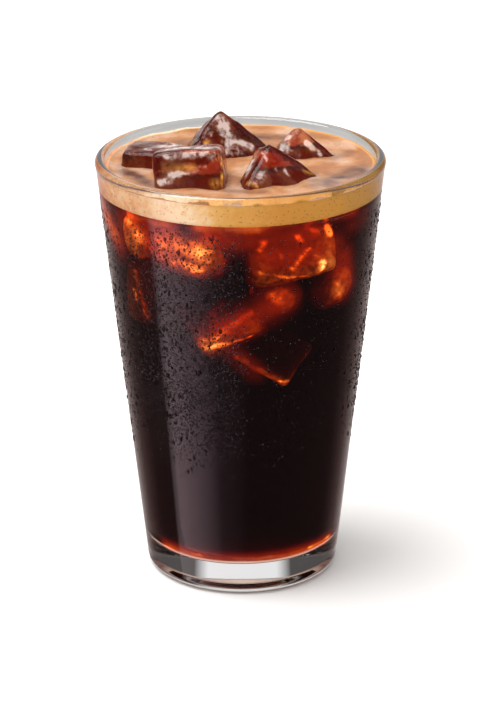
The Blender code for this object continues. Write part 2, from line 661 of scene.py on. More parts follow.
class Piece:
    """A mesh that becomes a piece of the part."""

    def __init__(self, name: str, slot: Slot, material: bpy.types.Material, node: str = "") -> None:
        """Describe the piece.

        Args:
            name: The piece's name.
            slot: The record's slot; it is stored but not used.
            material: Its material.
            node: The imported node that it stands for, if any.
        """
        self.name = name
        self.slot = slot
        self.material = material
        self.node = node

    def adopt(self, mesh: bpy.types.Mesh) -> None:
        """Make the object from a finished mesh and hang it on the part.

        Args:
            mesh: The mesh, in the part's own frame.
        """
        mesh.name = self.name
        obj = bpy.data.objects.new(self.name, mesh)
        bpy.context.scene.collection.objects.link(obj)
        mesh.materials.clear()
        mesh.materials.append(self.material)
        mesh.shade_smooth()
        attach(obj, BODY)
        if self.node:
            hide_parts(self.node)
        mesh.calc_loop_triangles()
        LOG.info("%s: %d triangles", self.name, len(mesh.loop_triangles))


def mesh_from(bm: bmesh.types.BMesh, name: str) -> bpy.types.Mesh:
    """Turn a bmesh into a mesh and free it.

    Args:
        bm: The bmesh.
        name: The mesh's name.

    Returns:
        The mesh.
    """
    mesh = bpy.data.meshes.new(name)
    bm.to_mesh(mesh)
    bm.free()
    return mesh


def turned(profile: Sequence[tuple[float, float]], steps: int) -> bmesh.types.BMesh:
    """Turn a profile about the Z axis.

    Args:
        profile: Points (radius, height); the ends lie on the axis.
        steps: Segments round the axis.

    Returns:
        A closed bmesh with outward faces.
    """
    bm = bmesh.new()
    verts = [bm.verts.new((x, 0.0, z)) for x, z in profile]
    edges = [bm.edges.new(pair) for pair in zip(verts, verts[1:])]
    bmesh.ops.spin(
        bm, geom=verts + edges, axis=(0.0, 0.0, 1.0), cent=(0.0, 0.0, 0.0),
        angle=2.0 * math.pi, steps=steps, use_merge=True,
    )
    bmesh.ops.remove_doubles(bm, verts=bm.verts[:], dist=MERGE)
    bmesh.ops.recalc_face_normals(bm, faces=bm.faces[:])
    return bm


def cut_away(obj_mesh: bpy.types.Mesh, cutters: Sequence[bpy.types.Mesh]) -> bpy.types.Mesh:
    """Cut solids out of a mesh.

    Args:
        obj_mesh: The mesh to cut.
        cutters: Closed meshes in the same frame.

    Returns:
        The cut mesh.
    """
    scene = bpy.context.scene
    holder = bpy.data.collections.new("cutters")
    scene.collection.children.link(holder)
    target = bpy.data.objects.new("target", obj_mesh)
    scene.collection.objects.link(target)
    tools = [bpy.data.objects.new("cutter", mesh) for mesh in cutters]
    for tool in tools:
        holder.objects.link(tool)
    cut = target.modifiers.new("cut", "BOOLEAN")
    cut.operation = "DIFFERENCE"
    cut.operand_type = "COLLECTION"
    cut.collection = holder
    cut.solver = "EXACT"
    graph = bpy.context.evaluated_depsgraph_get()
    result = bpy.data.meshes.new_from_object(target.evaluated_get(graph))
    for each in (target, *tools):
        bpy.data.objects.remove(each, do_unlink=True)
    bpy.data.collections.remove(holder)
    return result


class Tumbler:
    """The glass itself."""

    steps = 192

    def __init__(self, shape: TumblerShape) -> None:
        """Keep the glass's measures."""
        self.shape = shape

    def profile(self) -> Profile:
        """Draw the glass in section.

        Returns:
            Points from the inside of the floor, up the inner wall, over the rim and down to the recess.
        """
        s = self.shape
        floor = s.corner(s.foot_radius - s.wall, s.floor_top, s.floor_corner, 12)
        rim = arc(s.rim_radius - s.rim_round, s.height - s.rim_round, s.rim_round, 180.0, -30.0, 24)
        heel = s.corner(s.foot_radius, 0.0, s.heel_round, 12)[::-1]
        lip = s.ring_inner - 2.4 * s.recess
        points = [(0.0, s.floor_top), *between((0.0, s.floor_top), floor[0], 8), *floor]
        points += [*between(floor[-1], rim[0], 18), *rim, *between(rim[-1], heel[0], 18), *heel]
        points += [*between(heel[-1], (s.ring_inner, 0.0), 3), (s.ring_inner, 0.0)]
        points += [(lip, s.recess), *between((lip, s.recess), (0.0, s.recess), 6), (0.0, s.recess)]
        return points

    def build(self) -> None:
        """Model and dress the glass."""
        mesh = mesh_from(turned(self.profile(), self.steps), "tumbler")
        Piece("tumbler", Slot.GLASS, GlassFinish().build(), "glass").adopt(mesh)


@dataclass(frozen=True)
class Scoop:
    """A hollow melted into a cube, or with a negative depth a swelling."""

    centre: Point
    reach: float
    depth: float


@dataclass(frozen=True)
class Gleam:
    """A place along a line from start to end, in millimetres, where an attribute is painted: painted glow,
    milky ice with painted sheen, painted glints and shade, and wet pools.
    """

    start: Point
    end: Point
    reach: float
    strength: float = 1.0

    def at(self, spot: Vector) -> float:
        """Tell how strongly it shows at a spot.

        Args:
            spot: The place, in millimetres.

        Returns:
            Its strength there.
        """
        start = Vector(self.start)
        line = Vector(self.end) - start
        along = 0.0
        if line.length > 0.01:
            along = min(1.0, max(0.0, (spot - start).dot(line) / line.length_squared))
        away = (spot - start - line * along).length / self.reach
        return self.strength * (1.0 - away * away) ** 2 if away < 1.0 else 0.0


def paint(mesh: bpy.types.Mesh, name: str, gleams: Sequence[Gleam]) -> None:
    """Write a vertex attribute with the strongest gleam at each vertex.

    Args:
        mesh: The mesh to paint.
        name: The attribute's name.
        gleams: The places to paint.
    """
    values = [max((gleam.at(vert.co / MM) for gleam in gleams), default=0.0) for vert in mesh.vertices]
    mesh.attributes.new(name, "FLOAT", "POINT").data.foreach_set("value", values)


def round_gleams(radius: float, height: float, azimuths: Sequence[float], reach: float,
                 strength: float) -> list[Gleam]:
    """Gleams end to end along an arc of the wall.

    Args:
        radius: Radius of the arc, in millimetres.
        height: Height of the arc, in millimetres.
        azimuths: Where the gleams meet, in degrees from the front.
        reach: How far each gleam reaches, in millimetres.
        strength: How strongly it shows.

    Returns:
        The gleams.
    """
    turns = [math.radians(azimuth) for azimuth in azimuths]
    spots = [(radius * math.sin(turn), -radius * math.cos(turn), height) for turn in turns]
    return [Gleam(first, last, reach, strength) for first, last in zip(spots, spots[1:])]


@dataclass(frozen=True)
class StandingCube:
    """An ice cube that stands out of the foam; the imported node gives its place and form."""

    node: str
    seed: int
    frost_and_sheen: tuple[Gleam, ...] = ()
    amber_glint: tuple[Gleam, ...] = ()
    shade: tuple[Gleam, ...] = ()
    scoops: tuple[Scoop, ...] = ()
    wander: float = 0.55 * MM
    wander_size: float = 4.5 * MM
    fine: float = 0.3
    cuts: int = 2

    def melted(self, shrink: float = 0.0) -> bmesh.types.BMesh:
        """The cube with its skin melted uneven.

        Args:
            shrink: How far every face is drawn in, in metres.

        Returns:
            A closed bmesh.
        """
        bm = bmesh.new()
        bm.from_mesh(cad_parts[self.node].data)
        bmesh.ops.remove_doubles(bm, verts=bm.verts[:], dist=MERGE)
        for _ in range(self.cuts):
            bmesh.ops.subdivide_edges(bm, edges=bm.edges[:], cuts=1, use_grid_fill=True)
        bm.normal_update()
        drift = Vector((self.seed * 3.7, self.seed * 1.3, 0.0))
        for vert in bm.verts:
            push = self.wander * noise.noise(vert.co / self.wander_size + drift)
            push += self.fine * self.wander * noise.noise(vert.co / (self.fine * self.wander_size) + drift)
            for scoop in self.scoops:
                away = (vert.co - Vector(scoop.centre)).length / scoop.reach
                if away < 1.0:
                    push -= scoop.depth * (1.0 - away * away) ** 2
            vert.co += vert.normal * (push - shrink)
        axes = {"use_axis_x": True, "use_axis_y": True, "use_axis_z": True}
        bmesh.ops.smooth_vert(bm, verts=bm.verts[:], factor=0.5, **axes)
        return bm

    def build(self, material: bpy.types.Material) -> None:
        """Model and dress the cube.

        Args:
            material: The ice.
        """
        mesh = mesh_from(self.melted(), self.node)
        paint(mesh, "frost_and_sheen", self.frost_and_sheen)
        paint(mesh, "amber_glint", self.amber_glint)
        paint(mesh, "shade", self.shade)
        Piece(self.node + "_cube", Slot.ICE, material, self.node).adopt(mesh)


class StandingIce:
    """The five cubes that stand out of the foam."""

    tuck = 0.10 * MM

    def __init__(self) -> None:
        """List the cubes with the hollows and milky places that the photograph shows."""
        # Each cube lists where its ice is milky with painted sheen, where it has painted gold glints, and
        # where painted shade darkens it.
        self.cubes = [
            StandingCube("ice_left", 1, frost_and_sheen=(
                Gleam((-24.3, 2.9, 134.4), (-19.6, 7.7, 133.7), 4.2, 1.0),
                Gleam((-29.7, 3.0, 134.4), (-27.2, -0.5, 134.3), 2.0, 0.75),
                Gleam((-33.5, 1.0, 134.2), (-31.9, -2.2, 131.8), 3.2, 0.45),
            ), shade=(
                Gleam((-26.5, -2.7, 133.8), (-26.8, -3.7, 131.0), 2.6, 1.0),
                Gleam((-35.0, -1.4, 134.0), (-34.6, -1.6, 131.0), 1.4, 0.9),
            )),
            StandingCube("ice_front_left", 2, frost_and_sheen=(
                Gleam((-21.4, -15.6, 139.2), (-7.3, -18.0, 140.0), 3.4, 0.95),
                Gleam((-22.5, -21.9, 139.0), (-8.0, -22.8, 140.0), 1.9, 1.0),
                Gleam((-23.7, -23.4, 131.2), (-18.4, -22.6, 133.7), 1.9, 1.15),
                Gleam((-18.4, -22.6, 133.7), (-11.4, -22.8, 135.2), 1.6, 1.0),
                Gleam((-10.3, -23.0, 136.2), (-7.9, -22.9, 138.6), 1.0, 0.7),
            ), amber_glint=(
                Gleam((-22.5, -22.3, 135.8), (-13.2, -22.4, 136.3), 1.2, 0.5),
                Gleam((-5.6, -21.2, 138.0), (-5.5, -23.0, 136.1), 0.8, 0.9),
                Gleam((-5.4, -23.7, 134.0), (-5.6, -24.4, 131.7), 0.9, 0.9),
                Gleam((-8.5, -24.0, 131.6), (-6.8, -24.8, 131.1), 1.0, 0.7),
            ), shade=(
                Gleam((-12.0, -23.3, 131.4), (-7.4, -24.0, 134.1), 5.0, 1.0),
                Gleam((-22.5, -22.1, 137.0), (-8.0, -22.9, 137.8), 1.1, 0.9),
                Gleam((-14.5, -22.4, 133.0), (-10.8, -22.9, 135.5), 1.8, 0.8),
            ), scoops=(
                Scoop((-14.0 * MM, -27.5 * MM, 133.0 * MM), 9.5 * MM, 2.2 * MM),
            )),
            StandingCube("ice_back", 3, frost_and_sheen=(
                Gleam((-5.7, 13.9, 139.3), (-3.4, 9.5, 133.1), 4.0, 1.1),
                Gleam((-8.8, 10.0, 136.4), (-10.0, 8.3, 135.2), 1.7, 0.9),
                Gleam((-1.5, 10.8, 133.6), (3.3, 11.6, 131.6), 2.2, 0.95),
                Gleam((-6.0, 7.5, 131.5), (0.5, 9.1, 130.5), 1.6, 0.9),
            ), amber_glint=(
                Gleam((-9.9, 7.7, 134.4), (-10.5, 7.0, 134.1), 1.3, 1.0),
            ), shade=(
                Gleam((-12.5, 16.6, 134.8), (-13.6, 8.8, 134.3), 4.0, 1.0),
                Gleam((-2.0, 14.9, 138.4), (2.0, 13.3, 135.0), 1.8, 0.8),
                Gleam((4.5, 12.1, 131.5), (8.0, 12.5, 130.1), 1.5, 0.7),
            )),
            StandingCube("ice_front_right", 4, frost_and_sheen=(
                Gleam((7.2, -16.9, 136.8), (7.8, -17.3, 136.2), 1.1, 1.25),
                Gleam((3.8, -12.7, 134.8), (2.0, -17.9, 132.1), 3.0, 0.80),
                Gleam((6.6, -20.4, 133.2), (4.8, -22.9, 131.2), 2.8, 0.78),
                Gleam((10.2, -17.3, 134.3), (10.7, -18.5, 132.3), 1.2, 0.5),
                Gleam((12.8, -16.6, 133.2), (14.8, -18.1, 129.6), 1.4, 1.25),
                Gleam((6.1, -14.3, 137.7), (6.7, -15.6, 137.5), 1.2, 0.55),
            ), amber_glint=(
                Gleam((1.9, -22.9, 130.9), (4.8, -23.7, 130.1), 0.8, 0.6),
                Gleam((18.5, -13.5, 131.9), (21.4, -12.4, 130.3), 0.6, 0.35),
            ), shade=(
                Gleam((9.0, -14.2, 139.2), (11.1, -14.2, 137.6), 2.6, 1.0),
                Gleam((11.1, -14.2, 137.6), (20.2, -12.8, 131.0), 4.6, 1.0),
                Gleam((9.6, -18.3, 133.4), (10.5, -20.5, 130.4), 2.8, 1.0),
                Gleam((17.0, -16.5, 130.5), (20.5, -14.5, 129.0), 3.0, 1.0),
                Gleam((3.0, -9.0, 134.5), (1.0, -12.0, 131.0), 1.0, 0.8),
            ), scoops=(
                Scoop((16.5 * MM, -20.0 * MM, 129.5 * MM), 7.0 * MM, -2.2 * MM),
            )),
            StandingCube("ice_back_right", 5, frost_and_sheen=(
                Gleam((14.2, 9.5, 135.5), (13.0, 7.5, 131.5), 3.2, 1.15),
                Gleam((20.1, 8.3, 133.9), (24.3, 7.2, 130.5), 1.6, 1.2),
                Gleam((15.9, 7.0, 131.8), (18.9, 6.2, 130.2), 1.5, 0.65),
            ), amber_glint=(
                Gleam((21.3, 7.9, 132.5), (22.5, 7.6, 131.9), 1.0, 0.4),
            ), shade=(
                Gleam((22.0, 10.5, 135.5), (27.0, 9.5, 131.0), 1.6, 0.8),
            )),
        ]

    def cutters(self) -> list[bpy.types.Mesh]:
        """Meshes that cut room for the cubes, drawn in so that ice and drink meet without a gap."""
        return [mesh_from(cube.melted(self.tuck), cube.node + "_cutter") for cube in self.cubes]

    def build(self) -> None:
        """Model and dress the cubes."""
        material = ClearIceFinish().build()
        for cube in self.cubes:
            cube.build(material)


@dataclass(frozen=True)
class SunkCube:
    """An ice cube under the coffee, in millimetres and degrees; glow is the painted glow of its body, rim the
    painted glow of its edges.
    """

    centre: Point
    size: Point
    turn: Point
    glow: float = 0.3
    rim: float = 0.3
    cuts: int = 14
    round: float = 0.24
    fade: float = 9.0
    clearance: float = 0.6
    ceiling: float = 122.6
    foam_shade: float = 0.55
    bright_depth: float = 1.5
    broad_swell: float = 0.9
    broad_size: float = 6.0
    fine_swell: float = 0.3
    fine_size: float = 2.2

    def rounded(self, spot: Vector) -> tuple[Vector, float]:
        """Round the cube off.

        Args:
            spot: A point of the plain cube, from -1 to 1 along each axis.

        Returns:
            Where it goes, and how near it is to an edge, from 0 to 1.
        """
        half = Vector(self.size) / 2.0
        radius = self.round * min(self.size)
        flat = Vector([spot[i] * half[i] for i in range(3)])
        core = Vector([max(radius - half[i], min(half[i] - radius, flat[i])) for i in range(3)])
        nearness = sorted(abs(spot[i]) for i in range(3))[1]
        return core + (flat - core).normalized() * radius, ramp_between(nearness, 0.62, 0.97)

    def build_into(
        self, bm: bmesh.types.BMesh, shape: TumblerShape, seed: int, gleams: Sequence[Gleam]
    ) -> None:
        """Add the cube to a bmesh, moved inwards until it clears the wall.

        Args:
            bm: Where the cube goes; its layer "light" is written.
            shape: The glass it lies in.
            seed: Sets how its skin wanders.
            gleams: Places of painted glow.
        """
        cube = bmesh.new()
        light = cube.verts.layers.float.new("light")
        bmesh.ops.create_cube(cube, size=2.0)
        bmesh.ops.subdivide_edges(cube, edges=cube.edges[:], cuts=self.cuts, use_grid_fill=True)
        turn = Euler([math.radians(a) for a in self.turn]).to_matrix()
        drift = Vector((0.0, seed * 2.3, seed * 0.7))
        for vert in cube.verts:
            place, edge = self.rounded(vert.co)
            swell = self.broad_swell * noise.noise(place / self.broad_size + drift)
            swell += self.fine_swell * noise.noise(place / self.fine_size)
            place += place.normalized() * swell
            place = turn @ place + Vector(self.centre)
            under_foam = 1.0 - self.foam_shade * ramp_between(place.z, self.ceiling - 5.0, self.ceiling)
            vert[light] = (self.glow + self.rim * edge) * under_foam
            vert.co = place * MM
        over = max(vert.co.xy.length + self.clearance * MM - shape.inner(vert.co.z) for vert in cube.verts)
        if over > 0.0:
            inward = -Vector((self.centre[0], self.centre[1], 0.0)).normalized()
            bmesh.ops.translate(cube, vec=inward * over, verts=cube.verts[:])
        high = max(vert.co.z for vert in cube.verts) - self.ceiling * MM
        if high > 0.0:
            bmesh.ops.translate(cube, vec=(0.0, 0.0, -high), verts=cube.verts[:])
        for vert in cube.verts:
            spot = vert.co / MM
            depth = shape.inner(vert.co.z) / MM - spot.xy.length
            own = vert[light] * (1.0 - ramp_between(depth, self.bright_depth, self.bright_depth + self.fade))
            vert[light] = max([own] + [gleam.at(spot) for gleam in gleams])
        mesh = mesh_from(cube, "sunk_cube")
        bm.from_mesh(mesh)
        bpy.data.meshes.remove(mesh)


class SunkIce:
    """All the ice that lies wholly in the coffee."""

    def __init__(self, shape: TumblerShape) -> None:
        """Place the cubes that glow through the front, and fill in the rest of the glass alike.

        Args:
            shape: The glass's measures.
        """
        self.shape = shape
        self.cubes = [
            SunkCube((-27.5, -19.5, 115.0), (11.0, 12.0, 13.0), (8.0, 12.0, -52.0), 0.30, 0.0, 22, 0.42),
            SunkCube((-12.5, -25.5, 113.5), (22.0, 15.0, 17.0), (14.0, 6.0, -25.0), 0.44, 0.0, 26, 0.42),
            SunkCube((13.2, -26.0, 112.8), (25.5, 13.0, 18.0), (-7.0, -7.0, 20.0), 0.31, 0.0, 28, 0.24),
            SunkCube((25.0, -19.5, 99.0), (13.0, 13.0, 14.0), (25.0, 20.0, 52.0), 0.24, 0.0, 18, 0.45),
            SunkCube((9.0, -24.5, 99.5), (15.0, 15.0, 13.0), (20.0, 25.0, 15.0), 0.28, 0.0, 18, 0.45),
            SunkCube((-4.2, -21.4, 89.3), (20.0, 20.0, 17.0), (56.5, -29.4, 0.0), 0.30, 0.02, 26, 0.20),
            SunkCube((7.3, -22.1, 79.6), (18.0, 15.0, 13.0), (-74.8, -143.8, 8.3), 0.02, 0.04, 26, 0.10),
            SunkCube((-27.0, -16.0, 97.0), (11.0, 14.0, 20.0), (5.0, 8.0, -40.0), 0.12, 0.02, 20, 0.3),
            *self.hidden_cubes(),
        ]
        # Painted glow: places where the sunk ice shows lit through the coffee.
        self.gleams = (
            Gleam((-31.3, -19.9, 120.4), (-28.3, -24.5, 115.1), 4.6, 0.70),
            Gleam((-28.3, -24.5, 115.1), (-24.3, -23.8, 112.0), 3.6, 0.55),
            Gleam((-17.8, -31.6, 117.0), (-16.4, -32.2, 115.6), 5.5, 0.74),
            Gleam((-14.9, -32.7, 115.7), (-10.1, -35.2, 113.2), 6.0, 0.88),
            Gleam((-12.5, -34.1, 114.2), (-11.0, -35.0, 113.9), 3.0, 1.02),
            Gleam((-18.4, -30.3, 109.5), (-12.0, -33.3, 108.5), 3.6, 0.84),
            Gleam((-22.7, -28.3, 115.9), (-21.8, -29.3, 114.6), 5.0, 0.64),
            Gleam((-9.8, -32.9, 119.2), (-8.0, -34.4, 118.0), 4.5, 0.45),
            Gleam((6.2, -33.2, 116.9), (5.4, -33.5, 115.0), 1.9, 1.0),
            Gleam((15.5, -29.9, 117.7), (16.3, -29.8, 116.5), 1.7, 1.0),
            Gleam((23.7, -26.9, 119.4), (24.9, -26.8, 117.1), 2.1, 1.2),
            Gleam((18.8, -29.1, 113.7), (16.4, -30.1, 111.0), 1.0, 0.90),
            Gleam((16.4, -30.1, 111.0), (14.0, -31.6, 107.9), 1.2, 1.05),
            Gleam((22.9, -28.7, 108.6), (22.5, -29.0, 106.7), 2.2, 1.2),
            Gleam((5.0, -34.7, 107.9), (12.1, -32.7, 105.8), 0.9, 0.85),
            Gleam((12.1, -32.7, 105.8), (21.0, -29.2, 104.5), 0.9, 0.85),
            Gleam((10.8, -32.3, 112.9), (11.0, -32.3, 111.8), 0.9, 0.8),
            Gleam((20.2, -29.1, 111.4), (22.0, -28.7, 110.8), 0.8, 0.7),
            Gleam((18.1, -28.5, 119.9), (21.2, -27.7, 118.4), 1.6, 0.6),
            Gleam((27.0, -23.7, 99.5), (28.0, -22.5, 96.0), 4.6, 0.50),
            Gleam((8.6, -32.2, 99.7), (10.1, -31.8, 98.4), 3.2, 0.72),
            Gleam((2.6, -28.0, 101.7), (11.6, -31.6, 100.5), 3.6, 0.45),
            Gleam((-10.8, -31.8, 83.1), (-4.3, -32.7, 84.6), 2.0, 0.95),
            Gleam((-4.3, -32.7, 84.6), (2.7, -31.1, 87.0), 1.2, 0.78),
            Gleam((-8.3, -32.4, 85.8), (-2.2, -30.9, 90.6), 2.6, 0.64),
            Gleam((-2.2, -30.9, 90.6), (2.7, -30.7, 94.5), 2.2, 0.52),
            Gleam((-12.2, -29.8, 83.4), (-10.3, -31.7, 85.6), 2.4, 0.65),
            Gleam((-7.9, -28.0, 93.2), (-5.0, -26.7, 96.4), 2.6, 0.32),
            Gleam((-1.5, -31.0, 80.0), (12.0, -29.3, 70.8), 2.6, 0.36),
            Gleam((10.6, -29.6, 71.6), (13.2, -29.0, 71.4), 0.9, 0.9),
            Gleam((12.7, -29.1, 70.8), (20.0, -24.8, 81.0), 0.7, 0.32),
            Gleam((0.0, -30.5, 79.5), (5.0, -30.0, 75.0), 4.0, 0.27),
            Gleam((-29.4, -19.8, 103.2), (-27.6, -19.8, 95.5), 1.9, 0.45),
            Gleam((-27.9, -19.6, 95.4), (-25.4, -20.9, 89.8), 1.7, 0.45),
            Gleam((-29.8, -18.8, 97.2), (-29.1, -18.8, 93.9), 0.9, 0.8),
            Gleam((-27.0, -19.9, 91.1), (-26.0, -20.7, 89.1), 0.8, 0.8),
        )

    @staticmethod
    def hidden_cubes() -> list[SunkCube]:
        """Lay cubes along the sides and back, which the photograph doesn't reach, by a seeded rule.

        Returns:
            The cubes.
        """
        rng = random.Random(11)
        cubes = []
        for level, height in enumerate((111.0, 92.0, 72.0)):
            for step in range(4):
                angle = math.radians(22.0 + 38.0 * step + 17.0 * level)
                reach = 27.0 - 0.10 * (111.0 - height)
                size = rng.uniform(15.0, 20.0)
                centre = (reach * math.cos(angle), reach * math.sin(angle), height + rng.uniform(-3.0, 3.0))
                turn = tuple(rng.uniform(0.0, 90.0) for _ in range(3))
                glow = rng.uniform(0.15, 0.40) * (1.0, 0.8, 0.3)[level]
                cubes.append(SunkCube(centre, (size, size * 0.9, size), turn, glow, 0.5 * glow, 9, 0.30, 1.5))
        return cubes

    def build(self) -> None:
        """Model and dress the sunk ice as one piece."""
        bm = bmesh.new()
        bm.verts.layers.float.new("light")
        for seed, cube in enumerate(self.cubes):
            cube.build_into(bm, self.shape, seed, self.gleams)
        Piece("sunk_ice", Slot.ICE, SunkIceFinish().build()).adopt(mesh_from(bm, "sunk_ice"))


class Drink:
    """The coffee and the foam on it, both cut round the standing ice."""

    steps = 160
    into_wall = 0.15 * MM
    into_foam = 0.10 * MM
    foam_depth = 6.2 * MM
    climb = 0.75 * MM
    climb_width = 2.2 * MM
    swell = 0.40 * MM
    swell_size = 8.0 * MM
    froth = 0.12 * MM
    froth_size = 1.5 * MM
    soak_start = 0.3
    soak_end = 2.6
    # Painted glow in the coffee: along the edge of its floor and high on the front, under the foam.
    lights = (
        Gleam((19.5, -19.5, 12.2), (25.0, -12.0, 12.6), 1.6, 0.82),
        Gleam((-23.2, -15.2, 11.1), (-12.5, -24.9, 12.1), 1.1, 0.75),
        *round_gleams(27.6, 12.0, range(-54, 67, 12), 3.6, 0.50),
        Gleam((-39.0, -8.0, 119.6), (-35.0, -16.5, 112.1), 9.0, 0.60),
        Gleam((-33.0, -21.0, 118.0), (-22.0, -32.0, 115.0), 10.0, 0.42),
        Gleam((-8.0, -39.0, 119.5), (20.0, -34.0, 119.5), 8.0, 0.46),
        Gleam((-32.4, -23.0, 121.6), (-20.0, -34.5, 122.8), 5.0, 0.50),
        Gleam((-12.0, -38.0, 122.9), (4.8, -39.6, 123.0), 5.0, 0.62),
        Gleam((-8.1, -39.0, 122.3), (-3.6, -39.3, 119.2), 4.0, 0.50),
        Gleam((7.3, -39.3, 123.4), (32.2, -23.7, 123.6), 5.0, 0.50),
        Gleam((8.0, -38.0, 114.0), (27.0, -29.0, 113.0), 9.0, 0.42),
        Gleam((28.8, -25.4, 108.9), (29.9, -22.8, 99.4), 8.0, 0.42),
        Gleam((30.8, -24.7, 118.5), (34.7, -19.0, 119.9), 6.0, 0.25),
        Gleam((12.0, -36.0, 99.0), (-6.0, -36.5, 90.0), 8.0, 0.42),
        Gleam((-4.0, -36.5, 84.0), (4.0, -35.5, 76.0), 5.0, 0.25),
    )
    pools = (
        Gleam((-35.0, -6.0, 129.5), (-26.0, -20.0, 129.5), 5.0, 0.75),
        Gleam((24.0, -20.0, 129.5), (36.0, -6.0, 129.5), 8.0, 0.80),
        Gleam((-4.0, -26.0, 129.5), (6.0, -27.0, 129.5), 4.0, 0.55),
        Gleam((-16.0, 24.0, 129.5), (-26.0, 14.0, 129.5), 6.0, 0.5),
        Gleam((2.0, 30.0, 129.5), (14.0, 29.0, 129.5), 5.0, 0.75),
        Gleam((28.0, 6.0, 129.5), (33.0, 12.0, 129.5), 4.0, 0.4),
    )

    def __init__(self, shape: TumblerShape, cutters: list[bpy.types.Mesh]) -> None:
        """Keep what the drink is fitted to.

        Args:
            shape: The glass's measures.
            cutters: Meshes of the standing ice.
        """
        self.shape = shape
        self.cutters = cutters
        self.foam_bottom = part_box("foam")[0][2]
        self.foam_top = self.foam_bottom + self.foam_depth

    def coffee(self) -> None:
        """The coffee, from just into the glass's floor to just into the foam."""
        s = self.shape
        side = s.foot_radius - s.wall + self.into_wall
        floor = s.floor_top - self.into_wall
        top = self.foam_bottom + self.into_foam
        corner = s.corner(side, floor, s.floor_corner, 12)[::-1]
        edge = (side + s.flare * top, top)
        points = [(0.0, top), *between((0.0, top), edge, 8), edge, *between(edge, corner[0], 70), *corner]
        points += [*between(corner[-1], (0.0, floor), 6), (0.0, floor)]
        mesh = cut_away(mesh_from(turned(points, self.steps), "coffee_turned"), self.cutters)
        paint(mesh, "lit", self.lights)
        Piece("coffee_body", Slot.COFFEE, CoffeeFinish().build(), "coffee").adopt(mesh)

    def ripple(self, spot: Vector) -> float:
        """Work out the foam's wandering surface.

        Args:
            spot: A place on the foam's level.

        Returns:
            The surface's height above that level, in metres.
        """
        reach = spot.xy.length
        wall = self.shape.inner(self.foam_top)
        climb = self.climb * ramp_between(reach, wall - self.climb_width, wall)
        swell = self.swell * noise.noise(spot / self.swell_size)
        froth = self.froth * noise.noise(spot / self.froth_size + Vector((5.0, 0.0, 0.0)))
        return climb + swell + froth

    def paint_foam(self, mesh: bpy.types.Mesh) -> None:
        """Write where the foam faces up, and where it is soaked: round the ice and in a few pools.

        Args:
            mesh: The foam.
        """
        ice = [BVHTree.FromPolygons([v.co for v in m.vertices], [p.vertices[:] for p in m.polygons])
               for m in self.cutters]
        wall = self.shape.inner(self.foam_top)
        tops, wets = [], []
        for vert in mesh.vertices:
            up = ramp_between(vert.co.z, self.foam_top - 1.2 * MM, self.foam_top - 0.5 * MM)
            up *= 1.0 - ramp_between(vert.co.xy.length, wall - 0.9 * MM, wall - 0.1 * MM)
            near = min(tree.find_nearest(vert.co)[3] for tree in ice) / MM
            ragged = near + 1.6 * noise.noise(vert.co / (3.0 * MM))
            wet = 1.0 - ramp_between(ragged, self.soak_start, self.soak_end)
            pool = max(gleam.at(vert.co / MM) for gleam in self.pools)
            pool *= 1.0 + 0.7 * noise.noise(vert.co / (4.0 * MM))
            inside = 1.0 - ramp_between(vert.co.xy.length, 39.0 * MM, 40.0 * MM)
            edge = wet * (0.35 + 0.65 * inside * (1.0 - up)) if near > 0.2 else 1.0
            wets.append(min(1.0, max(edge, pool)))
            tops.append(up)
        mesh.attributes.new("top", "FLOAT", "POINT").data.foreach_set("value", tops)
        mesh.attributes.new("wet", "FLOAT", "POINT").data.foreach_set("value", wets)

    def foam(self) -> None:
        """The foam: a rippled top that climbs at the wall, and a side that lies on the glass."""
        s = self.shape
        side = s.foot_radius - s.wall + self.into_wall
        top_edge = (side + s.flare * self.foam_top, self.foam_top)
        low_edge = (side + s.flare * self.foam_bottom, self.foam_bottom)
        points = [(0.0, self.foam_top), *between((0.0, self.foam_top), top_edge, 72), top_edge]
        points += [*between(top_edge, low_edge, 8), low_edge]
        points += [*between(low_edge, (0.0, self.foam_bottom), 6), (0.0, self.foam_bottom)]
        bm = turned(points, 240)
        for vert in bm.verts:
            if vert.co.z > self.foam_top - 0.01 * MM:
                vert.co.z += self.ripple(vert.co)
        mesh = cut_away(mesh_from(bm, "foam_turned"), self.cutters)
        self.paint_foam(mesh)
        Piece("foam_layer", Slot.FOAM, FoamFinish().build(), "foam").adopt(mesh)

    def build(self) -> None:
        """Model and dress the coffee and the foam."""
        self.coffee()
        self.foam()


@dataclass(frozen=True)
class Bead:
    """One bead of water on the outer wall."""

    azimuth: float
    height: float
    width: float
    stretch: float


BeadDraw = Callable[[random.Random], tuple[float, float]]


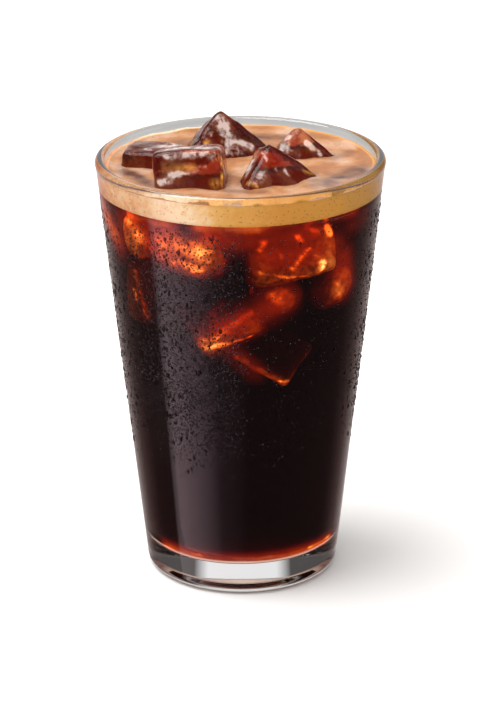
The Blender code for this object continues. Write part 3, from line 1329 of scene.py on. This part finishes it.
class Dew:
    """The condensation on the outside of the glass."""

    lowest = 34.0 * MM
    highest = 123.0 * MM
    bulge = 0.7
    sunk = 0.05

    def __init__(self, shape: TumblerShape) -> None:
        """Keep the glass's measures."""
        self.shape = shape

    @staticmethod
    def density(azimuth: float, z: float) -> float:
        """Tell how thickly the dew lies.

        Args:
            azimuth: Degrees from the front.
            z: Height.

        Returns:
            The share of beads that stay, from 0 to 1.
        """
        left = plateau(azimuth, -62.0, -48.0, -10.0, 8.0)
        far_left = 0.45 * plateau(azimuth, -105.0, -80.0, -60.0, -48.0)
        right = 0.5 * plateau(azimuth, 50.0, 72.0, 100.0, 120.0)
        behind = 0.25 * ramp_between(abs(azimuth), 95.0, 120.0)
        sparse = 0.07
        upper = plateau(z, 36.0 * MM, 66.0 * MM, 118.0 * MM, 123.0 * MM)
        return upper * max(left, far_left, right, behind, sparse)

    def scatter(self, count: int, seed: int, draw: BeadDraw) -> list[Bead]:
        """Lay beads by the density.

        Args:
            count: How many places are tried.
            seed: Seed of the draw.
            draw: Gives a bead's width and stretch.

        Returns:
            The beads that stay.
        """
        rng = random.Random(seed)
        beads = []
        for _ in range(count):
            azimuth = rng.uniform(-180.0, 180.0)
            z = rng.uniform(self.lowest, self.highest)
            width, stretch = draw(rng)
            if rng.random() < self.density(azimuth, z):
                beads.append(Bead(azimuth, z, width, stretch))
        return beads

    @staticmethod
    def runs() -> list[Bead]:
        """Larger drops: those that the photograph shows alone, and some on the left that begin to run.

        Returns:
            The drops.
        """
        rng = random.Random(5)
        drops = [
            Bead(-9.9, 68.2 * MM, 2.2 * MM, 0.8),
            Bead(-7.4, 67.8 * MM, 1.6 * MM, 0.8),
            Bead(59.9, 57.3 * MM, 0.9 * MM, 2.2),
            Bead(66.0, 56.5 * MM, 0.8 * MM, 2.4),
        ]
        for _ in range(34):
            width = rng.uniform(0.75, 1.15) * MM
            azimuth, height = rng.uniform(-68.0, -34.0), rng.uniform(58.0, 102.0) * MM
            drops.append(Bead(azimuth, height, width, rng.uniform(1.5, 2.6)))
        return drops

    def seat(self, bead: Bead) -> Matrix:
        """Set a unit ball on the wall.

        Args:
            bead: The bead that it becomes.

        Returns:
            The matrix that places and stretches it.
        """
        angle = math.radians(bead.azimuth)
        out = Vector((math.sin(angle), -math.cos(angle), -self.shape.flare)).normalized()
        up = Vector((out.x * self.shape.flare, out.y * self.shape.flare, 1.0)).normalized()
        along = up.cross(out).normalized()
        radius = bead.width / 2.0
        sides = (along * radius, up * radius * bead.stretch, out * radius * self.bulge)
        turn = Matrix(sides).transposed().to_4x4()
        reach = self.shape.outer(bead.height) - self.sunk * radius
        place = Vector((math.sin(angle) * reach, -math.cos(angle) * reach, bead.height))
        return Matrix.Translation(place) @ turn

    def joined(self, name: str, beads: Sequence[Bead], rounds: int, material: bpy.types.Material) -> None:
        """Join copies of one bead into a piece.

        Args:
            name: The piece's name.
            beads: Where the beads sit.
            rounds: Subdivisions of the ball that a bead starts from.
            material: The water.
        """
        bm = bmesh.new()
        bmesh.ops.create_icosphere(bm, subdivisions=rounds, radius=1.0)
        ball = mesh_from(bm, name + "_one")
        spots = np.empty(len(ball.vertices) * 3)
        ball.vertices.foreach_get("co", spots)
        spots = np.c_[spots.reshape(-1, 3), np.ones(len(ball.vertices))]
        faces = np.array([face.vertices[:] for face in ball.polygons])
        points = [spots @ np.array(self.seat(bead)).T[:, :3] for bead in beads]
        corners = [faces + i * len(spots) for i in range(len(beads))]
        bpy.data.meshes.remove(ball)
        mesh = bpy.data.meshes.new(name)
        mesh.from_pydata(np.concatenate(points).tolist(), [], np.concatenate(corners).tolist())
        Piece(name, Slot.GLASS, material).adopt(mesh)

    def build(self) -> None:
        """Model and dress the dew."""
        water = DewFinish().build()
        fine = self.scatter(34000, 3, lambda rng: (rng.uniform(0.34, 0.66) * MM, rng.uniform(0.9, 1.35)))
        large = self.scatter(2200, 4, lambda rng: (rng.uniform(0.65, 1.0) * MM, rng.uniform(1.1, 2.0)))
        self.joined("dew_fine", fine, 1, water)
        self.joined("dew_beads", large, 2, water)
        self.joined("dew_runs", self.runs(), 3, water)


class Room(NodeWork):
    """The studio's surroundings under construction."""

    def direction(self) -> list[bpy.types.NodeSocket]:
        """The direction that a ray leaves in.

        Returns:
            The sockets of its x, y and z.
        """
        spot = self.tree.nodes.new("ShaderNodeTexCoord")
        axes = self.tree.nodes.new("ShaderNodeSeparateXYZ")
        self.put(spot.outputs["Generated"], axes.inputs["Vector"])
        return [axes.outputs[i] for i in range(3)]


@dataclass(frozen=True)
class Studio:
    """Floor, light and camera."""

    target: Point = (-0.43 * MM, 0.0, 66.3 * MM)
    distance: float = 0.9
    elevation: float = 20.92
    roll: float = -0.29
    lens: float = 145.1
    floor_radius: float = 2.2
    floor_drop: float = 0.05 * MM
    key_place: Point = (-0.36, -0.02, 1.05)
    key_aim: Point = (0.0, 0.0, 0.05)
    key_size: float = 0.85
    key_power: float = 11.0
    bounces: int = 20
    clear_bounces: int = 18
    through: float = 0.70
    room_dark: Colour = (0.085, 0.080, 0.078)
    window_light: Colour = (0.90, 0.87, 0.88)
    overhead_light: Colour = (0.70, 0.64, 0.68)
    fill_colour: Colour = (1.0, 0.965, 0.94)
    fill_level: float = 0.85
    fill_from_left: float = 0.45
    fill_from_above: float = 0.35
    windows: float = 4.0
    window_edges: Stops = ((0.48, BLACK), (0.74, WHITE))
    overhead: Stops = ((0.90, BLACK), (0.95, WHITE))
    mirrored_walls: Stops = (
        (0.0, (0.80, 0.70, 0.68)), (0.060, (0.55, 0.44, 0.42)), (0.130, (0.20, 0.12, 0.115)),
        (0.190, (0.075, 0.040, 0.042)),
        (0.480, (0.075, 0.040, 0.042)), (0.567, (0.16, 0.095, 0.115)), (0.632, (0.58, 0.40, 0.47)),
        (0.700, (0.98, 0.68, 0.78)), (0.728, (1.00, 0.72, 0.80)), (0.736, (0.11, 0.055, 0.055)),
        (0.810, (0.09, 0.045, 0.045)), (0.870, (0.22, 0.13, 0.125)), (0.940, (0.55, 0.44, 0.42)),
        (1.0, (0.80, 0.70, 0.68)),
    )

    def floor(self) -> None:
        """A plain pale floor under the glass."""
        bm = bmesh.new()
        bmesh.ops.create_circle(bm, cap_ends=True, segments=96, radius=self.floor_radius)
        mesh = mesh_from(bm, "floor")
        mesh.materials.append(FloorFinish().build())
        floor = bpy.data.objects.new("floor", mesh)
        bpy.context.scene.collection.objects.link(floor)
        floor.location.z = -self.floor_drop
        floor.visible_glossy = False
        floor.visible_transmission = False

    def key_light(self) -> None:
        """A large soft light, high on the left."""
        data = bpy.data.lights.new("key", "AREA")
        data.shape = "DISK"
        data.size = self.key_size
        data.energy = self.key_power
        light = bpy.data.objects.new("key", data)
        bpy.context.scene.collection.objects.link(light)
        place = Vector(self.key_place)
        light.location = place
        light.rotation_euler = (Vector(self.key_aim) - place).to_track_quat("-Z", "Y").to_euler()
        light.visible_transmission = False

    def surroundings(self) -> None:
        """White as seen through the glass, and a dark room with soft lights as mirrored in it."""
        world = bpy.data.worlds.new("studio")
        bpy.context.scene.world = world
        world.use_nodes = True
        room = Room(world.node_tree)
        x, y, z = room.direction()
        leftward = room.math("ARCTAN2", room.math("MULTIPLY", x, -1.0), room.math("MULTIPLY", y, -1.0))
        turn = room.math("ADD", room.math("DIVIDE", leftward, 2.0 * math.pi), 0.5)
        height = room.math("ADD", room.math("MULTIPLY", z, 0.5), 0.5)
        window = room.math("COSINE", room.math("MULTIPLY", leftward, self.windows))
        window = room.ramp(room.math("ADD", room.math("MULTIPLY", window, 0.5), 0.5), self.window_edges)
        above = room.mix(window, self.room_dark, self.window_light)
        above = room.mix(room.ramp(height, self.overhead), above, self.overhead_light)
        upward = room.math("GREATER_THAN", z, 0.0)
        mirrored = room.mix(upward, room.ramp(turn, self.mirrored_walls), above)
        left = room.math("MULTIPLY", x, -self.fill_from_left)
        high = room.math("MULTIPLY", z, self.fill_from_above)
        fill = room.math("ADD", room.math("ADD", left, high), self.fill_level)
        filled = room.mix(1.0, self.fill_colour, fill, "MULTIPLY")
        seen_through = (self.through,) * 3
        path = room.tree.nodes.new("ShaderNodeLightPath")
        bounced = room.math("GREATER_THAN", path.outputs["Glossy Depth"], 0.5)
        diffuse = room.math("GREATER_THAN", path.outputs["Diffuse Depth"], 0.5)
        diffuse = room.math("MAXIMUM", diffuse, path.outputs["Is Diffuse Ray"])
        light = room.mix(bounced, seen_through, mirrored)
        light = room.mix(diffuse, light, filled)
        light = room.mix(path.outputs["Is Camera Ray"], light, WHITE)
        room.tree.links.new(light, room.tree.nodes["Background"].inputs["Color"])

    def camera(self) -> None:
        """The camera, at the photograph's angle."""
        data = bpy.data.cameras.new("camera")
        data.lens = self.lens
        data.sensor_width = 36.0
        camera = bpy.data.objects.new("camera", data)
        bpy.context.scene.collection.objects.link(camera)
        rise = math.radians(self.elevation)
        back = Vector((0.0, -math.cos(rise), math.sin(rise)))
        aim = Vector(self.target)
        turn = (-back).to_track_quat("-Z", "Y").to_matrix().to_4x4()
        roll = Matrix.Rotation(math.radians(self.roll), 4, "Z")
        camera.matrix_world = Matrix.Translation(aim + back * self.distance) @ turn @ roll
        bpy.context.scene.camera = camera

    def build(self) -> None:
        """Set up the studio."""
        scene = bpy.context.scene
        scene.view_settings.view_transform = "Standard"
        scene.cycles.max_bounces = self.bounces
        scene.cycles.transmission_bounces = self.clear_bounces
        self.floor()
        self.key_light()
        self.surroundings()
        self.camera()


def main() -> None:
    """Build the drink, then the studio; each piece logs its triangle count."""
    logging.basicConfig(level=logging.INFO, format="%(name)s %(message)s")
    shape = TumblerShape()
    ice = StandingIce()
    Tumbler(shape).build()
    ice.build()
    SunkIce(shape).build()
    Drink(shape, ice.cutters()).build()
    Dew(shape).build()
    Studio().build()


if __name__ == "__main__":
    main()
